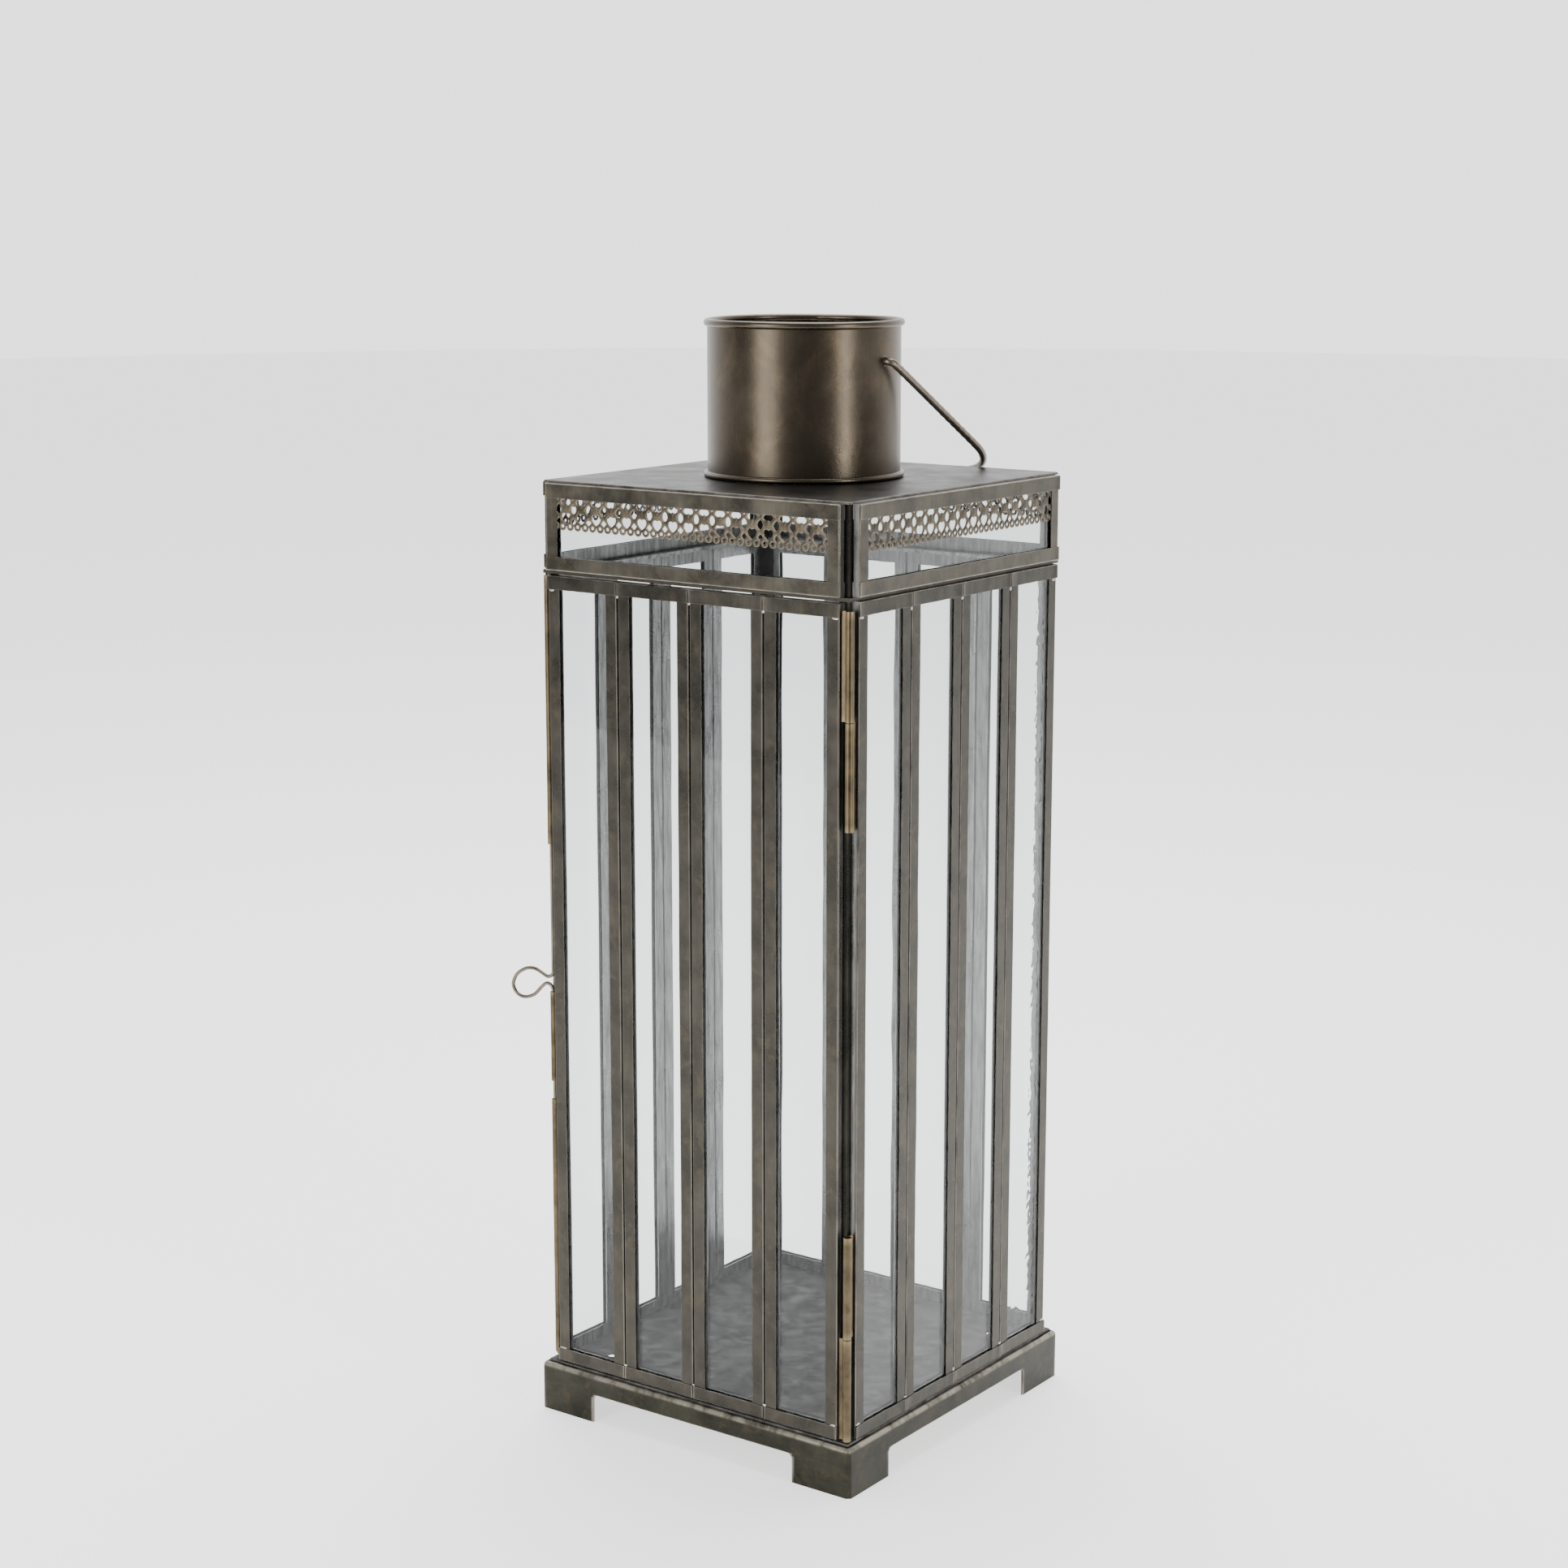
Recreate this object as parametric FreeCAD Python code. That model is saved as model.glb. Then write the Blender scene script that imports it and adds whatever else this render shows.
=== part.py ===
import FreeCAD, Part
import math
import os

# Candle lantern: a square glass tower of four sides, each of four narrow panes in folded
# sheet channels, on a plinth with bracket feet.  Above the panes a low glazed frieze carries
# a pierced metal strip, and a flat roof with a round chimney collar and a wire bail closes it.
# Millimetres.  +Z is up, the origin is the middle of the base where the feet stand, the door
# is the -Y side, its hinge is the corner at +X -Y and its latch the corner at -X -Y.

Vector = FreeCAD.Vector
UP = Vector(0, 0, 1)

# ---- sheet metal and glass ----
SHEET = 0.5                 # folded channel strip
GLASS = 3.0                 # pane thickness
GLASS_FIT = 0.1             # clearance round a pane in its channel
LAP = 0.4                   # extra layer where the top and bottom strips lap over the uprights
STRIP = 7.3                 # face width of a channel
CHANNEL = GLASS + 2 * (SHEET + GLASS_FIT)

# ---- plinth and floor ----
BODY_W = 200.0                 # outer faces of the glazed sides
PLINTH_W = BODY_W + 7.0
PLINTH_H = 27.0
PLINTH_SHEET = 1.2
PLINTH_EDGE = 2.6           # rolled outer edge
FOOT_W = 36.7
ARCH_H = 15.8
ARCH_CORNER = 2.0
LEDGE = 23.5                # width of the plinth's top round its opening
FLOOR_SHEET = 1.2
VENT_AT = 0.375 * BODY_W      # vent holes from the middle, both ways
VENT_R = 3.0

# ---- glazed sides ----
RECESS = 6.6                # open corner between two sides
PANES = 4
PANE_GAP = 0.3
SIDE_H = 435.8
DOOR_GAP = 0.6              # above and below the door
STOP_GAP = 0.4              # between the shut door and the corner posts
POST_LEG = 6.0
POST_SHEET = 0.8
SHOULDER_W = BODY_W - 4.0
SHOULDER_H = 1.9
SHOULDER_LEDGE = 8.0
SHOULDER_NOTCH = 0.2

# ---- frieze ----
FRIEZE_W = BODY_W + 1.0
FRIEZE_RECESS = 6.9
FRIEZE_H = 45.7
FRIEZE_TOP = 7.6            # top strip
FRIEZE_FOOT = 7.4           # bottom strip
FILIGREE = 0.5              # pierced strip
FILIGREE_DROP = 16.0        # how far it shows below the top strip
FILIGREE_PITCH = 10.0
FILIGREE_HOLE = 1.7
FILIGREE_SCALLOP = 2.2

# ---- roof and chimney collar ----
ROOF_W = BODY_W - 4.0
ROOF_SHEET = 1.2
ROOF_EDGE = 1.0
COLLAR_R = 51.4
COLLAR_WALL = 0.8
COLLAR_H = 80.4             # roof to the middle of the rim
COLLAR_TUCK = 4.0           # below the roof
COLLAR_FIT = 0.05
RIM_R = 2.0
BEAD_R = 1.7

# ---- bail ----
BAIL_WIRE = 2.0             # radius
BAIL_PIVOT = 61.6           # above the roof
BAIL_HOLE_GAP = 0.3
BAIL_RIM_GAP = 0.6
BAIL_LENGTH = round(0.6327 * ROOF_W, 1)
BAIL_CORNER = 26.0
BAIL_EYE_BEND = 3.4
BAIL_TAIL = 6.0             # inside the collar
BAIL_REST_GAP = 0.3         # above the edge that the arms rest on

# ---- hinge ----
KNUCKLE_R = 2.25
KNUCKLE_LENGTH = 55.0
KNUCKLE_GAP = 0.4
PIN_R = 1.0
PIN_FIT = 0.05
HINGE_DROP = 4.4              # top of the upper hinge below the top of the sides
HINGE_RISE = 1.0              # foot of the lower hinge above the floor
HINGE_IN = 2.1              # axis, in from both outer faces
LEAF = 0.6

# ---- latch ----
LATCH_WIRE = 1.0            # radius
LATCH_TUBE_R = 1.9
LATCH_FIT = 0.1
LATCH_IN = 2.0              # axis, in from the door's outer face
LOOP_BEND = 2.2
LOOP_NECK = 5.4             # between the two runs that leave the door
LOOP_THROAT = 3.4
LOOP_OUT = 28.6             # from the axis to the far end of the loop
LOOP_R = 7.0
LOOP_DROOP = 5.0

# ---- heights and faces worked out from the above ----
PLINTH_TOP = PLINTH_H
FLOOR_TOP = PLINTH_TOP + FLOOR_SHEET
SIDE_TOP = FLOOR_TOP + SIDE_H


def up_the_side(part):
    """Height at this part of the sides' height above the floor."""
    return round(FLOOR_TOP + part * SIDE_H, 1)


HINGE_TOP = SIDE_TOP - HINGE_DROP
HINGE_FOOT = FLOOR_TOP + HINGE_RISE
GUIDE_TOP = SIDE_TOP - 1.0
GUIDE_FOOT = up_the_side(0.6673)
GUIDE_LOW_TOP = up_the_side(0.4805)
GUIDE_LOW_FOOT = up_the_side(0.3667)
KEEPER_TOP = up_the_side(0.3428)
KEEPER_FOOT = FLOOR_TOP + 4.8
LATCH_TOP = up_the_side(0.8256)        # top end of the wire, inside the upper guide
LATCH_FOOT = up_the_side(0.3093)       # foot of the wire, inside the keeper
SHOULDER_TOP = SIDE_TOP + SHOULDER_H
FRIEZE_Z = SHOULDER_TOP + FRIEZE_H
ROOF_TOP = FRIEZE_Z + ROOF_SHEET
RIM_Z = ROOF_TOP + COLLAR_H
PIVOT_Z = ROOF_TOP + BAIL_PIVOT
FACE = BODY_W / 2
INNER = FACE - CHANNEL
SIDE_HALF = FACE - RECESS
FRIEZE_FACE = FRIEZE_W / 2
FRIEZE_HALF = FRIEZE_FACE - FRIEZE_RECESS

SIDES = (("door", 0), ("right", 90), ("back", 180), ("left", 270))


def box(x0, x1, y0, y1, z0, z1):
    return Part.makeBox(x1 - x0, y1 - y0, z1 - z0, Vector(x0, y0, z0))


def rod(radius, x, y, z0, z1):
    return Part.makeCylinder(radius, z1 - z0, Vector(x, y, z0), UP)


def pipe(outer, bore, x, y, z0, z1):
    return rod(outer, x, y, z0, z1).cut(rod(bore, x, y, z0, z1))


def turned(shape, angle):
    """A piece of the -Y side, carried round the middle to another side."""
    copy = shape.copy()
    copy.rotate(Vector(0, 0, 0), UP, angle)
    return copy


def wire_sweep(path, radius, start, direction):
    """Round wire of the given radius along a wire path."""
    ring = Part.Wire([Part.makeCircle(radius, start, direction)])
    return path.makePipeShell([ring], True, True)


def rounded_path(points, radii):
    """Straight runs between points, joined by tangent arcs of the given radii."""
    edges = []
    last = points[0]
    for i in range(1, len(points) - 1):
        corner = points[i]
        to_last = (points[i - 1] - corner).normalize()
        to_next = (points[i + 1] - corner).normalize()
        half = to_last.getAngle(to_next) / 2
        back = radii[i - 1] / math.tan(half)
        start = corner + to_last * back
        end = corner + to_next * back
        inward = (to_last + to_next).normalize()
        middle = corner + inward * (radii[i - 1] / math.sin(half) - radii[i - 1])
        if start.distanceToPoint(last) > 1e-6:
            edges.append(Part.LineSegment(last, start).toShape())
        edges.append(Part.Arc(start, middle, end).toShape())
        last = end
    edges.append(Part.LineSegment(last, points[-1]).toShape())
    return Part.Wire(edges)


# ---- plinth ----
def plinth_block(half, top, edge):
    block = box(-half, half, -half, half, 0, top)
    low = [e for e in block.Edges if max(v.Z for v in e.Vertexes) < top / 2]
    return block.makeFillet(edge, [e for e in block.Edges if not any(e.isSame(k) for k in low)])


def base_plinth():
    half = PLINTH_W / 2
    shell = plinth_block(half, PLINTH_H, PLINTH_EDGE)
    shell = shell.cut(plinth_block(half - PLINTH_SHEET, PLINTH_H - PLINTH_SHEET,
                                   PLINTH_EDGE - PLINTH_SHEET))
    arch = half - FOOT_W
    cut = box(-arch, arch, -half - 1, half + 1, -ARCH_H, ARCH_H)
    cut = cut.makeFillet(ARCH_CORNER, [e for e in cut.Edges
                                       if e.Length > PLINTH_W and e.Vertexes[0].Z > 0])
    shell = shell.cut(cut).cut(turned(cut, 90))
    hole = half - LEDGE
    return shell.cut(box(-hole, hole, -hole, hole, PLINTH_H - 2 * PLINTH_SHEET, PLINTH_H + 1))


def floor_plate():
    """The part of its top that the sides and posts leave clear is a face of its own."""
    half = INNER - POST_LEG - 0.8
    seat = box(-half, half, -half, half, PLINTH_TOP, FLOOR_TOP)
    plate = box(-FACE, FACE, -FACE, FACE, PLINTH_TOP, FLOOR_TOP).cut(seat).fuse(seat)
    for x in (-VENT_AT, VENT_AT):
        for y in (-VENT_AT, VENT_AT):
            plate = plate.cut(rod(VENT_R, x, y, PLINTH_TOP - 1, FLOOR_TOP + 1))
    return plate


# ---- glazed sides ----
def channel_frame(x0, x1, face, z0, z1, head, foot):
    """Four folded channels round a pane, with lapped head and foot strips."""
    frame = box(x0, x1, -face, -face + CHANNEL, z0, z1)
    frame = frame.fuse(box(x0, x1, -face - LAP, -face, z1 - head, z1))
    frame = frame.fuse(box(x0, x1, -face - LAP, -face, z0, z0 + foot))
    frame = frame.cut(box(x0 + STRIP, x1 - STRIP, -face - 1, -face + CHANNEL + 1,
                          z0 + foot, z1 - head))
    groove = box(x0 + SHEET, x1 - SHEET, -face + SHEET, -face + CHANNEL - SHEET,
                 z0 + SHEET, z1 - SHEET)
    return frame.cut(groove).removeSplitter()


def pane(x0, x1, y0, y1, z0, z1):
    edge = SHEET + GLASS_FIT
    return box(x0 + edge, x1 - edge, y0, y1, z0 + edge, z1 - edge)


def side_panes(side, angle):
    low = FLOOR_TOP + (DOOR_GAP if side == "door" else 0)
    high = SIDE_TOP - (DOOR_GAP if side == "door" else 0)
    pitch = 2 * SIDE_HALF / PANES
    front = -FACE + SHEET + GLASS_FIT
    for i in range(PANES):
        x0 = -SIDE_HALF + i * pitch + PANE_GAP / 2
        x1 = x0 + pitch - PANE_GAP
        frame = channel_frame(x0, x1, FACE, low, high, STRIP, STRIP)
        glass = pane(x0, x1, front, front + GLASS, low, high)
        nodes["%s_pane_frame_%d" % (side, i + 1)] = turned(frame, angle)
        nodes["%s_pane_glass_%d" % (side, i + 1)] = turned(glass, angle)


def corner_posts():
    """Angle strips behind the open corners; the door's corners stand back by the stop gap."""
    posts = []
    for x_sign in (-1, 1):
        for y_sign in (-1, 1):
            x_face = INNER
            y_face = INNER - (STOP_GAP if y_sign < 0 else 0)
            outer = box(INNER - POST_LEG, x_face, INNER - POST_LEG, y_face, FLOOR_TOP, FRIEZE_Z)
            inside = box(0, x_face - POST_SHEET, 0, y_face - POST_SHEET, FLOOR_TOP, FRIEZE_Z)
            post = outer.cut(inside)
            if x_sign < 0:
                post = post.mirror(Vector(0, 0, 0), Vector(1, 0, 0))
            if y_sign < 0:
                post = post.mirror(Vector(0, 0, 0), Vector(0, 1, 0))
            posts.append(post)
    return Part.makeCompound(posts)


def shoulder_ring():
    half = SHOULDER_W / 2
    hole = half - SHOULDER_LEDGE
    ring = box(-half, half, -half, half, SIDE_TOP, SHOULDER_TOP)
    ring = ring.cut(box(-hole, hole, -hole, hole, SIDE_TOP - 1, SHOULDER_TOP + 1))
    notch = INNER + SHOULDER_NOTCH
    for x in (-1, 1):
        for y in (-1, 1):
            ring = ring.cut(box(min(x * notch, 0), max(x * notch, 0),
                                min(y * notch, 0), max(y * notch, 0), SIDE_TOP - 1,
                                SHOULDER_TOP + 1).cut(post_clearing(x, y)))
    return ring


def post_clearing(x, y):
    """All of the plan but the square that a corner post stands in."""
    near = INNER - POST_LEG - SHOULDER_NOTCH
    far = FACE * 2
    square = box(near if x > 0 else -far, far if x > 0 else -near,
                 near if y > 0 else -far, far if y > 0 else -near, 0, FRIEZE_Z * 2)
    return box(-far, far, -far, far, 0, FRIEZE_Z * 2).cut(square)


# ---- frieze ----
def frieze_side(side, angle):
    frame = channel_frame(-FRIEZE_HALF, FRIEZE_HALF, FRIEZE_FACE, SHOULDER_TOP, FRIEZE_Z,
                          FRIEZE_TOP, FRIEZE_FOOT)
    front = -FRIEZE_FACE + SHEET + GLASS_FIT
    glass = pane(-FRIEZE_HALF, FRIEZE_HALF, front + FILIGREE + GLASS_FIT, front + GLASS,
                 SHOULDER_TOP, FRIEZE_Z)
    low = FRIEZE_Z - FRIEZE_TOP - FILIGREE_DROP
    strip = pane(-FRIEZE_HALF, FRIEZE_HALF, front, front + FILIGREE,
                 low - SHEET - GLASS_FIT, FRIEZE_Z)
    count = int(2 * (FRIEZE_HALF - STRIP) / FILIGREE_PITCH)
    row = FILIGREE_DROP / 3
    holes = []
    for i in range(count):
        x = (i - (count - 1) / 2) * FILIGREE_PITCH
        for lift, radius in ((0, FILIGREE_SCALLOP), (1.4 * row, FILIGREE_HOLE),
                             (2.4 * row, FILIGREE_HOLE)):
            start = Vector(x, front - 1, low + lift)
            holes.append(Part.makeCylinder(radius, FILIGREE + 2, start, Vector(0, 1, 0)))
    strip = strip.cut(Part.makeCompound(holes))
    name = "front" if side == "door" else side
    nodes["frieze_frame_" + name] = turned(frame, angle)
    nodes["frieze_glass_" + name] = turned(glass, angle)
    nodes["filigree_strip_" + name] = turned(strip, angle)


# ---- roof and collar ----
def roof_plate():
    half = ROOF_W / 2
    plate = box(-half, half, -half, half, FRIEZE_Z, ROOF_TOP)
    plate = plate.makeFillet(ROOF_EDGE, [e for e in plate.Edges
                                         if min(v.Z for v in e.Vertexes) > FRIEZE_Z + 0.1])
    return plate.cut(rod(COLLAR_R + COLLAR_FIT, 0, 0, FRIEZE_Z - 1, ROOF_TOP + 1))


def bail_bore(radius):
    reach = COLLAR_R + 2 * RIM_R
    return Part.makeCylinder(radius, 2 * reach, Vector(-reach, 0, PIVOT_Z), Vector(1, 0, 0))


def collar():
    tube = pipe(COLLAR_R, COLLAR_R - COLLAR_WALL, 0, 0, ROOF_TOP - ROOF_SHEET - COLLAR_TUCK, RIM_Z)
    return tube.cut(bail_bore(BAIL_WIRE + BAIL_HOLE_GAP))


def collar_rim():
    """Rolled wire rim with a slot below for the collar's edge."""
    middle = COLLAR_R - COLLAR_WALL / 2
    ring = Part.makeTorus(middle, RIM_R, Vector(0, 0, RIM_Z), UP)
    slot = pipe(COLLAR_R + COLLAR_FIT, COLLAR_R - COLLAR_WALL - COLLAR_FIT, 0, 0,
                RIM_Z - 2 * RIM_R, RIM_Z + COLLAR_FIT)
    return ring.cut(slot)


def collar_base_ring():
    """Half-round bead round the foot of the collar."""
    ring = Part.makeTorus(COLLAR_R, BEAD_R, Vector(0, 0, ROOF_TOP + BEAD_R), UP)
    return ring.cut(rod(COLLAR_R + COLLAR_FIT, 0, 0, ROOF_TOP - 1, ROOF_TOP + 3 * BEAD_R))


# ---- bail ----
def bail_angle():
    """Angle below level at which the arms lie just above the top outer edge of the frieze."""
    out = FRIEZE_FACE + LAP
    drop = PIVOT_Z - FRIEZE_Z
    lift = BAIL_WIRE + BAIL_REST_GAP
    return math.atan2(drop, out) - math.asin(lift / math.hypot(drop, out))


def bail_handle():
    """A flat U of wire with its tails bent in through the collar, tipped back to its rest."""
    arm = COLLAR_R - COLLAR_WALL / 2 + RIM_R + BAIL_RIM_GAP + BAIL_WIRE
    tail = COLLAR_R - COLLAR_WALL - BAIL_TAIL
    points = [Vector(-tail, 0, PIVOT_Z), Vector(-arm, 0, PIVOT_Z),
              Vector(-arm, BAIL_LENGTH, PIVOT_Z), Vector(arm, BAIL_LENGTH, PIVOT_Z),
              Vector(arm, 0, PIVOT_Z), Vector(tail, 0, PIVOT_Z)]
    path = rounded_path(points, [BAIL_EYE_BEND, BAIL_CORNER, BAIL_CORNER, BAIL_EYE_BEND])
    handle = wire_sweep(path, BAIL_WIRE, points[0], Vector(1, 0, 0))
    handle.rotate(Vector(0, 0, PIVOT_Z), Vector(1, 0, 0), -math.degrees(bail_angle()))
    return handle


# ---- hinge ----
HINGE_X = FACE - HINGE_IN
HINGE_Y = HINGE_IN - FACE


def knuckle(z0, z1, on_door):
    """Rolled tube with a leaf that reaches the edge of the door or of the fixed side."""
    tube = rod(KNUCKLE_R, HINGE_X, HINGE_Y, z0, z1)
    if on_door:
        leaf = box(SIDE_HALF - PANE_GAP / 2, HINGE_X, HINGE_Y - LEAF / 2, HINGE_Y + LEAF / 2, z0, z1)
    else:
        leaf = box(HINGE_X - LEAF / 2, HINGE_X + LEAF / 2, HINGE_Y, -SIDE_HALF + PANE_GAP / 2, z0, z1)
    return tube.fuse(leaf).cut(rod(PIN_R + PIN_FIT, HINGE_X, HINGE_Y, z0, z1)).removeSplitter()


def hinge():
    upper = HINGE_TOP - KNUCKLE_LENGTH
    lower = HINGE_FOOT + KNUCKLE_LENGTH
    reach = KNUCKLE_LENGTH - KNUCKLE_GAP
    nodes["hinge_knuckles_door"] = Part.makeCompound(
        [knuckle(upper, HINGE_TOP, True), knuckle(HINGE_FOOT, lower, True)])
    nodes["hinge_knuckles_frame"] = Part.makeCompound(
        [knuckle(upper - KNUCKLE_GAP - reach, upper - KNUCKLE_GAP, False),
         knuckle(lower + KNUCKLE_GAP, lower + KNUCKLE_GAP + reach, False)])
    nodes["hinge_pins"] = Part.makeCompound(
        [rod(PIN_R, HINGE_X, HINGE_Y, HINGE_TOP - 2 * KNUCKLE_LENGTH, HINGE_TOP),
         rod(PIN_R, HINGE_X, HINGE_Y, HINGE_FOOT, HINGE_FOOT + 2 * KNUCKLE_LENGTH)])


# ---- latch ----
LATCH_X = -(SIDE_HALF - PANE_GAP / 2 + LATCH_TUBE_R)
LATCH_Y = LATCH_IN - FACE


def latch_tube(z0, z1):
    return pipe(LATCH_TUBE_R, LATCH_WIRE + LATCH_FIT, LATCH_X, LATCH_Y, z0, z1)


def latch_keeper():
    """Tube on the fixed side, carried by a leaf from that side's edge."""
    leaf = box(LATCH_X - LATCH_TUBE_R, LATCH_X - LATCH_TUBE_R + LEAF, LATCH_Y,
               -SIDE_HALF + PANE_GAP / 2, KEEPER_FOOT, KEEPER_TOP)
    tube = rod(LATCH_TUBE_R, LATCH_X, LATCH_Y, KEEPER_FOOT, KEEPER_TOP).fuse(leaf)
    bore = rod(LATCH_WIRE + LATCH_FIT, LATCH_X, LATCH_Y, KEEPER_FOOT, KEEPER_TOP)
    return tube.cut(bore).removeSplitter()


def latch_wire():
    """Straight wire with a finger loop that leaves between the two guides."""
    neck_z = GUIDE_LOW_TOP + LATCH_WIRE + LOOP_BEND + LOOP_NECK / 2
    throat_x = LATCH_X - LOOP_BEND - LOOP_THROAT
    far_x = LATCH_X - LOOP_OUT + LOOP_R
    far_z = neck_z - LOOP_DROOP
    tilt = math.atan2(LOOP_DROOP, throat_x - far_x)
    across = Vector(math.sin(tilt), 0, -math.cos(tilt))
    along = Vector(-math.cos(tilt), 0, -math.sin(tilt))
    centre = Vector(far_x, LATCH_Y, far_z)
    throat = Vector(throat_x, LATCH_Y, neck_z)
    top = Vector(LATCH_X, LATCH_Y, neck_z + LOOP_NECK / 2)
    low = Vector(LATCH_X, LATCH_Y, neck_z - LOOP_NECK / 2)
    points = [Vector(LATCH_X, LATCH_Y, LATCH_TOP), top, throat - across * (LOOP_THROAT / 2),
              centre - across * LOOP_R, centre - across * LOOP_R + along * LOOP_R,
              centre + across * LOOP_R + along * LOOP_R, centre + across * LOOP_R,
              throat + across * (LOOP_THROAT / 2), low, Vector(LATCH_X, LATCH_Y, LATCH_FOOT)]
    radii = [LOOP_BEND, 3.0, 8.0, LOOP_R - 0.01, LOOP_R - 0.01, 8.0, 3.0, LOOP_BEND]
    path = rounded_path(points, radii)
    return wire_sweep(path, LATCH_WIRE, points[0], Vector(0, 0, 1))


nodes = {}
nodes["base_plinth"] = base_plinth()
nodes["floor_plate"] = floor_plate()
nodes["corner_posts"] = corner_posts()
nodes["shoulder_ring"] = shoulder_ring()
for side_name, side_angle in SIDES:
    side_panes(side_name, side_angle)
    frieze_side(side_name, side_angle)
nodes["roof_plate"] = roof_plate()
nodes["collar"] = collar()
nodes["collar_rim"] = collar_rim()
nodes["collar_base_ring"] = collar_base_ring()
nodes["bail_handle"] = bail_handle()
hinge()
nodes["latch_guide_upper"] = latch_tube(GUIDE_FOOT, GUIDE_TOP)
nodes["latch_guide_lower"] = latch_tube(GUIDE_LOW_FOOT, GUIDE_LOW_TOP)
nodes["latch_keeper"] = latch_keeper()
nodes["latch_wire"] = latch_wire()

# The origin is the middle of the overall box at rest, on the plane of the feet: the latch's
# loop reaches out on the left, and the bail reaches past the plinth at the back.
loop_reach = LATCH_X - LOOP_OUT - LATCH_WIRE
bail_reach = max(BAIL_LENGTH * math.cos(bail_angle()) + BAIL_WIRE, PLINTH_W / 2)
to_origin = Vector(round(-(loop_reach + PLINTH_W / 2) / 2, 1),
                   round(-(bail_reach - PLINTH_W / 2) / 2, 1), 0)

os.makedirs("parts", exist_ok=True)
for node_name, node_shape in nodes.items():
    node_shape.translate(to_origin)
    node_shape.exportStep("parts/%s.step" % node_name)
    print("%-24s solids %d  volume %.1f  valid %s"
          % (node_name, len(node_shape.Solids), node_shape.Volume, node_shape.isValid()))
print(len(nodes), "nodes; moved to the origin by", to_origin,
      "bail rest angle", math.degrees(bail_angle()))
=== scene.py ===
import math

import bpy
import numpy as np
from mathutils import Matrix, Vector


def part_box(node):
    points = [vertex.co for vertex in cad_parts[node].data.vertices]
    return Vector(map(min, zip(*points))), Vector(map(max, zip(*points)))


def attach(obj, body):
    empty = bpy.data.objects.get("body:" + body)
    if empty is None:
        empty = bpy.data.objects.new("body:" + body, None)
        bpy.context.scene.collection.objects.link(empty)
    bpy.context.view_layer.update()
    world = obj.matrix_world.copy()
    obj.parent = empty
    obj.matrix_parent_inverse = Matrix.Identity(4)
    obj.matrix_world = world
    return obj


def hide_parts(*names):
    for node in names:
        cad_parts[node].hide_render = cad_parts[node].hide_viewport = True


# Looks of the candle lantern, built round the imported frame.  Shapes are worked out in
# millimetres and written to the meshes in metres.

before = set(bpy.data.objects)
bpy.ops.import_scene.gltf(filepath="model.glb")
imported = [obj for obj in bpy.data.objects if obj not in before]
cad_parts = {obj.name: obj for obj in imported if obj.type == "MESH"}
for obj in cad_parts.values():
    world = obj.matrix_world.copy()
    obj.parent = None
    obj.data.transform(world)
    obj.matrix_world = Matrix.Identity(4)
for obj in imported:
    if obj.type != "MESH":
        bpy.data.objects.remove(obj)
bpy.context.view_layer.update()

MM = 0.001
SEED = 7
SIDES = (("door", 0), ("right", 90), ("back", 180), ("left", 270))
BAND_SIDES = (("front", 0), ("right", 90), ("back", 180), ("left", 270))
PANES = 4
SHEET = 0.5                 # folded channel sheet
STRIP = 7.3                 # face width of a channel
FOLD_R = 0.75               # outer radius of a folded edge
LAP = 0.4                   # head and foot strips stand this far off the uprights
BAIL_PIVOT_Z = 574.4        # height of the collar's bail holes
BAIL_LENGTH = 128.5         # pivot to the outside of the crossbar
BAIL_CORNER = 34.0          # middle radius of the bail's two bends
BAIL_TAIL = 44.6            # inner end of the bail's wire, from the middle
BAIL_DIP = 30.789           # degrees the bail hangs below level at rest
LATCH_LOOP_Z = 243.3        # height of the latch's neck at rest
MIDDLE = (np.array(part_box("base_plinth")[0]) + np.array(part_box("base_plinth")[1])) / 2 / MM
MIDDLE[2] = 0.0             # the upright line through the middle of the plinth


# ------------------------------------------------------------------ frame measures
def node_box(node):
    """Corners of a CAD node in millimetres from the middle of the plinth."""
    low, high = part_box(node)
    return np.array(low) / MM - MIDDLE, np.array(high) / MM - MIDDLE


def turned(points, degrees):
    """Points of the door side carried round the middle of the lantern."""
    a = math.radians(degrees)
    c, s = round(math.cos(a)), round(math.sin(a))
    x, y, z = points[..., 0], points[..., 1], points[..., 2]
    return np.stack([c * x - s * y, s * x + c * y, z], -1)


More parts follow.
